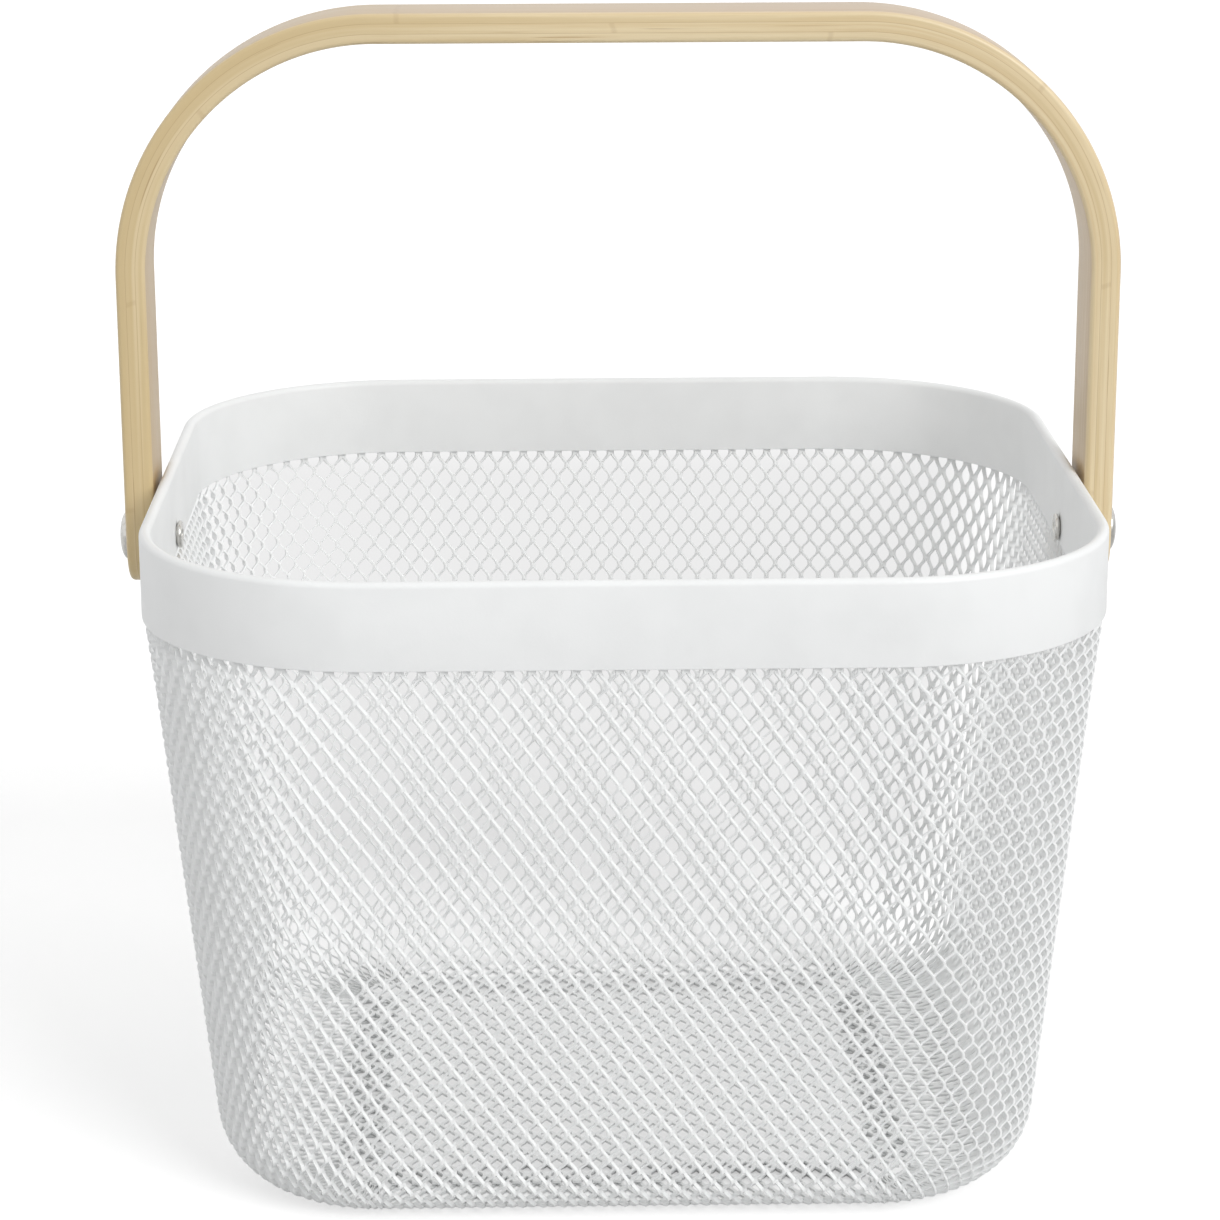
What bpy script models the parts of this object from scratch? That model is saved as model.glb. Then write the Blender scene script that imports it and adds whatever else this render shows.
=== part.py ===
"""Mesh fruit basket with a swinging bamboo handle.

Metres, +Z up. The origin is the middle of the base, on the surface that the basket
stands on. X runs through the two rivets, and the handle swings about them.

The skilled piece is the wall: one strip of expanded metal, wrapped round the basket,
leaning in towards the base, turned under over a fillet and ending in a flat flange.
Its diamond lattice is laid out flat, as the strip is, and bent into place by a formula.
"""

import collections
import math

import bmesh
import bpy
import numpy as np

MM = 0.001

# The rim: a sheet steel band folded over the top edge of the mesh wall
RIM_WIDTH = 250.0 * MM
RIM_DEPTH = 242.0 * MM
RIM_TOP = 180.0 * MM
RIM_BAND_HEIGHT = 22.5 * MM
RIM_CORNER_RADIUS = 60.5 * MM
RIM_SHEET = 0.5 * MM
RIM_SLOT_CLEARANCE = 0.55 * MM

# The mesh wall and the mesh floor
MESH_SHEET = 1.0 * MM
MESH_EDGE_BELOW_TOP = 3.0 * MM
STRAND_WIDTH = 4.0 * MM
MESH_CELL_WIDTH = 25.5 * MM
MESH_CELL_HEIGHT = 34.0 * MM
WALL_BEND_HEIGHT = 4.0 * MM
BASE_CORNER_RADIUS = 43.5 * MM
BASE_FILLET = 22.0 * MM
FLANGE_WIDTH = 17.0 * MM
FLOOR_EDGE_MARGIN = 1.5 * MM

# The handle: a bent strip of laminated bamboo
HANDLE_TOP = 305.0 * MM
HANDLE_WIDTH = 25.0 * MM
HANDLE_THICKNESS = 8.0 * MM
HANDLE_BEND_RADIUS = 70.0 * MM
HANDLE_EDGE_CHAMFER = 1.2 * MM
LEG_STANDOFF = 1.5 * MM

# The rivets: domed heads outside, rolled hollow tails inside, and how far down the
# rim band they sit
RIVET_DOWN_BAND_SHARE = 0.8
RIVET_HEAD_RADIUS = 6.8 * MM
RIVET_HEAD_HEIGHT = 2.5 * MM
RIVET_HEAD_EDGE = 0.5 * MM
RIVET_SHANK_RADIUS = 2.5 * MM
RIVET_TAIL_RADIUS = 3.8 * MM
RIVET_TAIL_HEIGHT = 1.3 * MM
RIVET_BORE_RADIUS = 1.3 * MM
RIVET_BORE_DEPTH = 4.0 * MM

# Room between pieces that touch, and how far a cutter runs past what it cuts
SEAT_GAP = 0.3 * MM
CUT_OVERRUN = 2.0 * MM

# How finely round shapes are divided
CORNER_STEPS = 9
FILLET_STEPS = 24
CROWN_STEPS = 6
BEND_STEPS = 12
END_STEPS = 7
TURN_STEPS = 20
DOME_STEPS = 5

# Worked out from the sizes above
CORNER_X = RIM_WIDTH / 2 - RIM_CORNER_RADIUS
CORNER_Y = RIM_DEPTH / 2 - RIM_CORNER_RADIUS
RIM_THICKNESS = 2 * (RIM_SHEET + RIM_SLOT_CLEARANCE) + MESH_SHEET
RIM_BOTTOM = RIM_TOP - RIM_BAND_HEIGHT
PIVOT_HEIGHT = RIM_TOP - RIVET_DOWN_BAND_SHARE * RIM_BAND_HEIGHT
MESH_TOP_RADIUS = RIM_CORNER_RADIUS - RIM_SHEET - RIM_SLOT_CLEARANCE
MESH_TOP = RIM_TOP - MESH_EDGE_BELOW_TOP
LEG_INNER_X = RIM_WIDTH / 2 + LEG_STANDOFF
LEG_OUTER_X = LEG_INNER_X + HANDLE_THICKNESS

WHITE_COAT = {"colour": (0.83, 0.84, 0.84, 1.0), "roughness": 0.42, "metallic": 0.0}
BAMBOO = {"colour": (0.72, 0.55, 0.33, 1.0), "roughness": 0.38, "metallic": 0.0}
NICKEL = {"colour": (0.62, 0.61, 0.58, 1.0), "roughness": 0.22, "metallic": 1.0}


def clear_scene():
    """Remove whatever the opened file holds."""
    for old in list(bpy.data.objects):
        bpy.data.objects.remove(old, do_unlink=True)


def make_material(name, finish):
    """Return a Principled material of one colour."""
    material = bpy.data.materials.new(name)
    material.use_nodes = True
    shader = material.node_tree.nodes["Principled BSDF"]
    shader.inputs["Base Color"].default_value = finish["colour"]
    shader.inputs["Roughness"].default_value = finish["roughness"]
    shader.inputs["Metallic"].default_value = finish["metallic"]
    return material


def keep_side(body, point, normal):
    """Cut a body by a plane, keep the side that the normal points to, close the cuts."""
    geometry = body.verts[:] + body.edges[:] + body.faces[:]
    bmesh.ops.bisect_plane(
        body, geom=geometry, plane_co=point, plane_no=normal, clear_inner=True
    )
    open_edges = [edge for edge in body.edges if edge.is_boundary]
    bmesh.ops.holes_fill(body, edges=open_edges, sides=0)


def make_object(name, points, faces, material, origin=(0.0, 0.0, 0.0), cuts=()):
    """Return a closed object from points in world metres, with its own origin.

    Each cut is a plane, as a point and the normal towards what is kept. Cuts are
    for objects whose origin is the world's.
    """
    mesh = bpy.data.meshes.new(name)
    shifted = [tuple(np.subtract(point, origin)) for point in points]
    mesh.from_pydata(shifted, [], faces)
    body = bmesh.new()
    body.from_mesh(mesh)
    for point, normal in cuts:
        keep_side(body, point, normal)
    bmesh.ops.recalc_face_normals(body, faces=body.faces)
    if body.calc_volume(signed=True) < 0:
        bmesh.ops.reverse_faces(body, faces=body.faces)
    body.to_mesh(mesh)
    body.free()
    mesh.shade_smooth()
    mesh.set_sharp_from_angle(angle=math.radians(35))
    mesh.materials.append(material)
    made = bpy.data.objects.new(name, mesh)
    made.location = origin
    bpy.context.collection.objects.link(made)
    return made


def loft(sections, closed):
    """Join equal rings of points; the run of rings is a loop, or has flat ends."""
    count = len(sections[0])
    points = [point for ring in sections for point in ring]
    faces = []
    steps = len(sections) if closed else len(sections) - 1
    for step in range(steps):
        start = step * count
        after = ((step + 1) % len(sections)) * count
        for k in range(count):
            m = (k + 1) % count
            faces.append((start + k, start + m, after + m, after + k))
    if not closed:
        last = (len(sections) - 1) * count
        faces.append(tuple(range(count))[::-1])
        faces.append(tuple(range(last, last + count)))
    return points, faces


def lathe_about_x(profile, centre_z, side):
    """Turn (distance along X, radius) pairs about the rivet line at one side."""
    points = []
    rings = []
    for along, radius in profile:
        if radius == 0.0:
            rings.append([len(points)])
            points.append((side * along, 0.0, centre_z))
            continue
        ring = []
        for k in range(TURN_STEPS):
            turn = 2 * math.pi * k / TURN_STEPS
            ring.append(len(points))
            y = radius * math.cos(turn)
            z = centre_z + radius * math.sin(turn)
            points.append((side * along, y, z))
        rings.append(ring)
    faces = []
    for near, far in zip(rings, rings[1:]):
        for k in range(TURN_STEPS):
            m = (k + 1) % TURN_STEPS
            if len(near) == 1:
                faces.append((near[0], far[k], far[m]))
            elif len(far) == 1:
                faces.append((near[k], far[0], near[m]))
            else:
                faces.append((near[k], far[k], far[m], near[m]))
    return points, faces


def cut_rivet_hole(target, radius, material):
    """Cut one round hole right through the target along the rivet line."""
    reach = LEG_OUTER_X + CUT_OVERRUN
    profile = [(-reach, 0.0), (-reach, radius), (reach, radius), (reach, 0.0)]
    points, faces = lathe_about_x(profile, PIVOT_HEIGHT, 1)
    cutter = make_object(target.name + "_hole_cutter", points, faces, material)
    cutter.hide_render = True
    cutter.display_type = "WIRE"
    cut = target.modifiers.new("rivet_hole", "BOOLEAN")
    cut.operation = "DIFFERENCE"
    cut.solver = "EXACT"
    cut.object = cutter


def wall_stations():
    """Return arc length, corner radius, height and normal tilt down the wall's outside.

    From the top: upright inside the rim, a slight bend, a straight lean inwards,
    the fillet, and the flange flat on the ground. The tilt is that of the outward
    normal below level, so it ends at a right angle.
    """
    bend_z = RIM_BOTTOM - WALL_BEND_HEIGHT
    lean = math.atan((MESH_TOP_RADIUS - BASE_CORNER_RADIUS) / bend_z)
    fillet_r = BASE_CORNER_RADIUS + BASE_FILLET * (math.tan(lean) - 1 / math.cos(lean))
    stations = [
        (MESH_TOP_RADIUS, MESH_TOP, 0.0),
        (MESH_TOP_RADIUS, RIM_BOTTOM, 0.0),
        (MESH_TOP_RADIUS, bend_z, lean),
    ]
    for k in range(FILLET_STEPS + 1):
        tilt = lean + (math.pi / 2 - lean) * k / FILLET_STEPS
        r = fillet_r + BASE_FILLET * math.cos(tilt)
        z = BASE_FILLET - BASE_FILLET * math.sin(tilt)
        stations.append((r, z, tilt))
    stations.append((fillet_r - FLANGE_WIDTH, 0.0, math.pi / 2))
    table = np.array(stations)
    steps = np.hypot(np.diff(table[:, 0]), np.diff(table[:, 1]))
    along = np.concatenate([[0.0], np.cumsum(steps)])
    return along, table[:, 0], table[:, 1], table[:, 2]


WALL_ALONG, WALL_RADII, WALL_HEIGHTS, WALL_TILTS = wall_stations()
WALL_LENGTH = float(WALL_ALONG[-1])
FILLET_START = float(WALL_ALONG[3])
FILLET_END = float(WALL_ALONG[-2])
FLOOR_CORNER_RADIUS = float(WALL_RADII[-2]) - FLOOR_EDGE_MARGIN
CORNER_ARC = math.pi / 2 * (MESH_TOP_RADIUS + BASE_CORNER_RADIUS) / 2
STRAND_SLOPE = math.atan2(MESH_CELL_HEIGHT, MESH_CELL_WIDTH)
KNOT_HALF_WIDTH = STRAND_WIDTH / 2 / math.sin(STRAND_SLOPE)
KNOT_HALF_HEIGHT = STRAND_WIDTH / 2 / math.cos(STRAND_SLOPE)


def half_cells(length, cell):
    """Return the even number of half cells that fits a length best."""
    return 2 * max(1, round(length / cell))


Stretch = collections.namedtuple("Stretch", "name start end turn_from turn_to length")


def wall_stretches():
    """Return the wall's eight stretches, anticlockwise from the +X side.

    Each has the corner centre and the outward angle at both its ends. On a
    straight side the centre slides, and on a corner the angle turns.
    """
    centres = [(1, -1), (1, 1), (-1, 1), (-1, -1)]
    centres = [np.array([x * CORNER_X, y * CORNER_Y]) for x, y in centres]
    sides = ("right", "back", "left", "front")
    corners = ("back_right", "back_left", "front_left", "front_right")
    stretches = []
    for quarter, (side, corner) in enumerate(zip(sides, corners)):
        start = centres[quarter]
        end = centres[(quarter + 1) % 4]
        facing = quarter * math.pi / 2
        length = float(np.abs(end - start).sum())
        stretches.append(Stretch("wall_" + side, start, end, facing, facing, length))
        turned = facing + math.pi / 2
        name = "corner_" + corner
        stretches.append(Stretch(name, end, end, facing, turned, CORNER_ARC))
    return stretches


def on_wall(stretch, along, down, depth):
    """Bend a place on the flat strip into the wall, depth counted inwards."""
    share = along / stretch.length
    centre_x, centre_y = stretch.start + (stretch.end - stretch.start) * share
    angle = stretch.turn_from + (stretch.turn_to - stretch.turn_from) * share
    radius = np.interp(down, WALL_ALONG, WALL_RADII)
    height = np.interp(down, WALL_ALONG, WALL_HEIGHTS)
    tilt = np.interp(down, WALL_ALONG, WALL_TILTS)
    radius -= depth * math.cos(tilt)
    height += depth * math.sin(tilt)
    return (
        centre_x + radius * math.cos(angle),
        centre_y + radius * math.sin(angle),
        float(height),
    )


def on_floor(x, y, depth):
    """Lay a place of the flat floor sheet on top of the flange."""
    return (x, y, MESH_SHEET + SEAT_GAP + depth)


def wall_lattice(length, columns, first_column):
    """Return a stretch's knots: their grid place and their place on the strip.

    Knots lie where row and column are both even or both odd, counted round the
    whole wall. The first and last rows keep whole knots on the strip.
    """
    rows = half_cells(WALL_LENGTH, MESH_CELL_HEIGHT)
    half_row = (WALL_LENGTH - 2 * KNOT_HALF_HEIGHT) / rows
    knots = {}
    for row in range(rows + 1):
        for column in range(columns + 1):
            if (row + first_column + column) % 2 == 0:
                down = KNOT_HALF_HEIGHT + row * half_row
                knots[column, row] = (column * length / columns, down)
    return knots


def floor_lattice():
    """Return the floor's knots, those that lie wholly inside its round cornered edge."""
    knots = {}
    reach = FLOOR_CORNER_RADIUS - STRAND_WIDTH
    most_columns = int((CORNER_X + reach) / (MESH_CELL_WIDTH / 2))
    most_rows = int((CORNER_Y + reach) / (MESH_CELL_HEIGHT / 2))
    for row in range(-most_rows, most_rows + 1):
        for column in range(-most_columns, most_columns + 1):
            x = column * MESH_CELL_WIDTH / 2
            y = row * MESH_CELL_HEIGHT / 2
            past_x = max(0.0, abs(x) - CORNER_X)
            past_y = max(0.0, abs(y) - CORNER_Y)
            if (row + column) % 2 == 0 and math.hypot(past_x, past_y) <= reach:
                knots[column, row] = (x, y)
    return knots


def knot_corners(place):
    """Return the four corners of a knot, where the edges of its strands meet."""
    x, y = place
    return [
        (x + KNOT_HALF_WIDTH, y),
        (x, y + KNOT_HALF_HEIGHT),
        (x - KNOT_HALF_WIDTH, y),
        (x, y - KNOT_HALF_HEIGHT),
    ]


def weave(knots, lay, curved):
    """Build the closed surface of a net of flat strands.

    Each knot is a small diamond. A strand runs from two corners of one knot to the
    two facing corners of the next. lay(x, y, depth) puts a flat place in space, and
    curved(y) says whether a strand with its middle there needs a joint in it.
    """
    points = []
    faces = []

    def add(place):
        pair = (len(points), len(points) + 1)
        points.append(lay(place[0], place[1], 0.0))
        points.append(lay(place[0], place[1], MESH_SHEET))
        return pair

    def band(first, second):
        """Join two cuts across a strand, each a pair of outer and inner points."""
        (a, b), (c, d) = first, second
        faces.append((a[0], c[0], d[0], b[0]))
        faces.append((a[1], b[1], d[1], c[1]))
        faces.append((a[0], a[1], c[1], c[0]))
        faces.append((b[0], d[0], d[1], b[1]))

    corner_ids = {}
    for key, place in knots.items():
        ids = [add(corner) for corner in knot_corners(place)]
        corner_ids[key] = ids
        faces.append(tuple(pair[0] for pair in ids))
        faces.append(tuple(pair[1] for pair in reversed(ids)))

    met = set()
    for key, place in knots.items():
        for step in (1, -1):
            other = (key[0] + step, key[1] + 1)
            if other not in knots:
                continue
            near, far = ((0, 1), (3, 2)) if step > 0 else ((2, 1), (3, 0))
            here = [corner_ids[key][k] for k in near]
            there = [corner_ids[other][k] for k in far]
            met.add((key, frozenset(near)))
            met.add((other, frozenset(far)))
            if curved((place[1] + knots[other][1]) / 2):
                from_flat = [knot_corners(place)[k] for k in near]
                to_flat = [knot_corners(knots[other])[k] for k in far]
                middle = [add(np.add(p, q) / 2) for p, q in zip(from_flat, to_flat)]
                band(here, middle)
                band(middle, there)
            else:
                band(here, there)

    for key, ids in corner_ids.items():
        for k in range(4):
            m = (k + 1) % 4
            if (key, frozenset((k, m))) not in met:
                faces.append((ids[k][0], ids[k][1], ids[m][1], ids[m][0]))
    return points, faces


def stretch_ends(stretch):
    """Return the planes that part a stretch from its neighbours, each with its gap."""
    ends = []
    pairs = [(stretch.start, stretch.turn_from, 1), (stretch.end, stretch.turn_to, -1)]
    for centre, angle, inwards in pairs:
        normal = np.array([-math.sin(angle), math.cos(angle)]) * inwards
        x, y = centre + normal * SEAT_GAP / 2
        ends.append(((x, y, 0.0), (normal[0], normal[1], 0.0)))
    return ends


def in_fillet(down):
    """Say whether a place on the strip lies where the wall turns under."""
    return FILLET_START < down < FILLET_END


def make_wall(material):
    """The expanded metal wall with its turned in flange, in eight stretches."""
    stretches = wall_stretches()
    column = -half_cells(stretches[0].length, MESH_CELL_WIDTH) // 2
    for stretch in stretches:
        columns = half_cells(stretch.length, MESH_CELL_WIDTH)
        knots = wall_lattice(stretch.length, columns, column)
        column += columns

        def lay(along, down, depth, stretch=stretch):
            return on_wall(stretch, along, down, depth)

        points, faces = weave(knots, lay, in_fillet)
        ends = stretch_ends(stretch)
        make_object(stretch.name, points, faces, material, cuts=ends)


def make_floor(material):
    """The flat expanded metal floor that lies on the flange."""
    points, faces = weave(floor_lattice(), on_floor, lambda down: False)
    return make_object("floor_mesh", points, faces, material)


def rim_profile():
    """Return (depth inwards, height) pairs of the folded band, anticlockwise."""
    half = RIM_THICKNESS / 2
    crown_z = RIM_TOP - half
    slot_half = half - RIM_SHEET
    pairs = [(0.0, RIM_BOTTOM)]
    for k in range(CROWN_STEPS + 1):
        turn = math.pi * k / CROWN_STEPS
        pairs.append((half - half * math.cos(turn), crown_z + half * math.sin(turn)))
    pairs.append((RIM_THICKNESS, RIM_BOTTOM))
    pairs.append((RIM_THICKNESS - RIM_SHEET, RIM_BOTTOM))
    for k in range(CROWN_STEPS // 2 + 1):
        turn = math.pi * k / (CROWN_STEPS // 2)
        depth = half + slot_half * math.cos(turn)
        pairs.append((depth, crown_z + slot_half * math.sin(turn)))
    pairs.append((RIM_SHEET, RIM_BOTTOM))
    return pairs


def make_rim(material):
    """The folded rim band, with the rivet hole through both its sides."""
    sections = []
    for quarter in range(4):
        across = 1 if quarter in (0, 3) else -1
        behind = 1 if quarter in (0, 1) else -1
        for k in range(CORNER_STEPS + 1):
            angle = math.pi / 2 * (quarter + k / CORNER_STEPS)
            ring = []
            for depth, height in rim_profile():
                radius = RIM_CORNER_RADIUS - depth
                x = across * CORNER_X + radius * math.cos(angle)
                y = behind * CORNER_Y + radius * math.sin(angle)
                ring.append((x, y, height))
            sections.append(ring)
    points, faces = loft(sections, closed=True)
    rim = make_object("rim_band", points, faces, material)
    cut_rivet_hole(rim, RIVET_SHANK_RADIUS + SEAT_GAP, material)
    return rim


def handle_path():
    """Return (x, z, outward angle, half width) down the middle of the bent strip.

    The angle is that of the strip's outer face, from +X. The legs end in a half
    circle about the rivet line.
    """
    half_width = HANDLE_WIDTH / 2
    centre_radius = HANDLE_BEND_RADIUS - HANDLE_THICKNESS / 2
    bend_x = LEG_OUTER_X - HANDLE_BEND_RADIUS
    bend_z = HANDLE_TOP - HANDLE_BEND_RADIUS
    leg_x = bend_x + centre_radius
    right = []
    for k in range(1, END_STEPS + 1):
        turn = math.pi / 2 * k / END_STEPS
        z = PIVOT_HEIGHT - half_width * math.cos(turn)
        right.append((leg_x, z, 0.0, half_width * math.sin(turn)))
    for k in range(BEND_STEPS + 1):
        turn = math.pi / 2 * k / BEND_STEPS
        x = bend_x + centre_radius * math.cos(turn)
        z = bend_z + centre_radius * math.sin(turn)
        right.append((x, z, turn, half_width))
    left = [(-x, z, math.pi - turn, half) for x, z, turn, half in reversed(right)]
    return right + left


def strip_section(half_width):
    """Return (outwards, along Y) pairs of the strip with its chamfered edges."""
    half = HANDLE_THICKNESS / 2
    chamfer = min(HANDLE_EDGE_CHAMFER, half_width / 2)
    flat_y = half_width - chamfer
    flat_out = half - chamfer
    return [
        (half, -flat_y),
        (half, flat_y),
        (flat_out, half_width),
        (-flat_out, half_width),
        (-half, flat_y),
        (-half, -flat_y),
        (-flat_out, -half_width),
        (flat_out, -half_width),
    ]


def make_handle(material):
    """The bent bamboo strip, with its origin on the line of the rivets."""
    sections = []
    for x, z, angle, half_width in handle_path():
        ring = []
        for out, y in strip_section(half_width):
            ring.append((x + out * math.cos(angle), y, z + out * math.sin(angle)))
        sections.append(ring)
    points, faces = loft(sections, closed=False)
    pivot = (0.0, 0.0, PIVOT_HEIGHT)
    handle = make_object("handle_bow", points, faces, material, pivot)
    cut_rivet_hole(handle, RIVET_SHANK_RADIUS + SEAT_GAP, material)
    return handle


def rivet_profile():
    """Return (x, radius) pairs of a rivet from the dome's top to the bore's end."""
    head_x = LEG_OUTER_X + SEAT_GAP
    rise = RIVET_HEAD_HEIGHT - RIVET_HEAD_EDGE
    tail_x = RIM_WIDTH / 2 - RIM_THICKNESS - SEAT_GAP
    roll = RIVET_TAIL_HEIGHT / 2
    pairs = []
    for k in range(DOME_STEPS + 1):
        turn = math.pi / 2 * k / DOME_STEPS
        x = head_x + RIVET_HEAD_EDGE + rise * math.cos(turn)
        pairs.append((x, RIVET_HEAD_RADIUS * math.sin(turn)))
    pairs.append((head_x, RIVET_HEAD_RADIUS))
    pairs.append((head_x, RIVET_SHANK_RADIUS))
    pairs.append((tail_x, RIVET_SHANK_RADIUS))
    pairs.append((tail_x, RIVET_TAIL_RADIUS - roll))
    pairs.append((tail_x - roll, RIVET_TAIL_RADIUS))
    pairs.append((tail_x - RIVET_TAIL_HEIGHT, RIVET_TAIL_RADIUS - roll))
    pairs.append((tail_x - RIVET_TAIL_HEIGHT, RIVET_BORE_RADIUS + roll / 2))
    pairs.append((tail_x - roll, RIVET_BORE_RADIUS))
    pairs.append((tail_x - RIVET_TAIL_HEIGHT + RIVET_BORE_DEPTH, RIVET_BORE_RADIUS))
    pairs.append((tail_x - RIVET_TAIL_HEIGHT + RIVET_BORE_DEPTH, 0.0))
    return pairs


def make_rivet(name, side, material):
    """One semi tubular rivet, side 1 at +X and -1 at -X."""
    points, faces = lathe_about_x(rivet_profile(), PIVOT_HEIGHT, side)
    origin = (side * RIM_WIDTH / 2, 0.0, PIVOT_HEIGHT)
    return make_object(name, points, faces, material, origin)


def main():
    """Build the whole basket."""
    clear_scene()
    make_wall(make_material("white_coat_wall", WHITE_COAT))
    make_floor(make_material("white_coat_floor", WHITE_COAT))
    make_rim(make_material("white_coat_rim", WHITE_COAT))
    make_handle(make_material("bamboo", BAMBOO))
    make_rivet("rivet_right", 1, make_material("nickel_right", NICKEL))
    make_rivet("rivet_left", -1, make_material("nickel_left", NICKEL))


main()
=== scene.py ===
"""Looks of the mesh fruit basket: expanded metal, folded rim, bamboo bow and rivets.

Metres, +Z up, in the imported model's frame. Every visible piece stands for one CAD node
and keeps its place. The wall's metal is laid out flat, as zigzag strips between columns
of knots, and is bent into the wall by the same formula as the CAD solids.
"""

from __future__ import annotations

import logging
import math
from dataclasses import dataclass, field
from enum import Enum
from typing import Any, Callable, Sequence

import bpy
import numpy as np
from mathutils import Matrix


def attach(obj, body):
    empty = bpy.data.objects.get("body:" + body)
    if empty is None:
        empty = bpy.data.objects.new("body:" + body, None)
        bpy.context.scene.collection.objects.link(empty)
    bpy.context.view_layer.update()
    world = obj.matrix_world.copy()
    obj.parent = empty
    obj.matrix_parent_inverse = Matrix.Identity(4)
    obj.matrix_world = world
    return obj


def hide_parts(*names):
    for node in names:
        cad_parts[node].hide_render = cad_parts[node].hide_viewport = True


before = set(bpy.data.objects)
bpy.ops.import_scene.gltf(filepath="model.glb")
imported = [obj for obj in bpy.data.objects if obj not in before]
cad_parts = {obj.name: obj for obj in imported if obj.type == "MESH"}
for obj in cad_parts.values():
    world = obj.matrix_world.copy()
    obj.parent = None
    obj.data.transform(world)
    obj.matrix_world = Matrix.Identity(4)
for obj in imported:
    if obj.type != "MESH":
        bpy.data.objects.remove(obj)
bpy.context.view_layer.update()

Colour = tuple[float, float, float, float]

LOG = logging.getLogger("basket")
MM = 0.001
PHOTO_PIXELS = 1220
SENSOR_WIDTH = 36.0

# Edges that bend more than this are shaded sharp: on plain pieces, and on the net
CREASE_DEGREES = 38.0
NET_CREASE_DEGREES = 50.0

# Points round a strip of the net, cuts through each knot, and points round a bore
SECTION_POINTS = 6
KNOT_CUTS = 2
BORE_TURNS = 48


class Side(Enum):
    """The two ends of the rivet line, as the sign of X."""

    RIGHT = 1
    LEFT = -1


# Shader building


def maths(operation: str, swapped: bool = False) -> Callable[..., Value]:
    """Return a method of Value that adds one Math node.

    Args:
        operation: The Math node's operation.
        swapped: Whether the Value is the node's second input.

    Returns:
        The method. It takes Values or plain numbers and gives the node's result.
    """

    def method(self: Value, *others: Any) -> Value:
        """Add the node and return its result."""
        terms = [*others, self] if swapped else [self, *others]
        node = self.bench.node("ShaderNodeMath", {"operation": operation}, dict(enumerate(terms)))
        return Value(self.bench, node.outputs[0])

    return method


class Value:
    """A number that varies over a surface: a socket with Python arithmetic.

    The magnitude is the value without its sign, floor is the whole number at or below
    it, and part is what is left above that floor.
    """

    def __init__(self, bench: NodeBench, socket: bpy.types.NodeSocket) -> None:
        """Wrap one output socket of the bench's tree."""
        self.bench = bench
        self.socket = socket

    __add__, __radd__ = maths("ADD"), maths("ADD", swapped=True)
    __sub__, __rsub__ = maths("SUBTRACT"), maths("SUBTRACT", swapped=True)
    __mul__, __rmul__ = maths("MULTIPLY"), maths("MULTIPLY", swapped=True)
    __truediv__ = maths("DIVIDE")
    magnitude, floor, part = maths("ABSOLUTE"), maths("FLOOR"), maths("FRACT")
    at_most, at_least = maths("MINIMUM"), maths("MAXIMUM")

    def ramp(self, low: float, high: float) -> Value:
        """Rise smoothly from 0 to 1 while the value goes from low to high.

        Args:
            low: The value at which the result starts to leave 0.
            high: The value at which the result reaches 1. It may be below low.

        Returns:
            A value from 0 to 1.
        """
        turned = low > high
        settings = {"interpolation_type": "SMOOTHSTEP"}
        inputs = {"Value": self, "From Min": min(low, high), "From Max": max(low, high)}
        node = self.bench.node("ShaderNodeMapRange", settings, inputs)
        result = Value(self.bench, node.outputs["Result"])
        return 1.0 - result if turned else result


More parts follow.
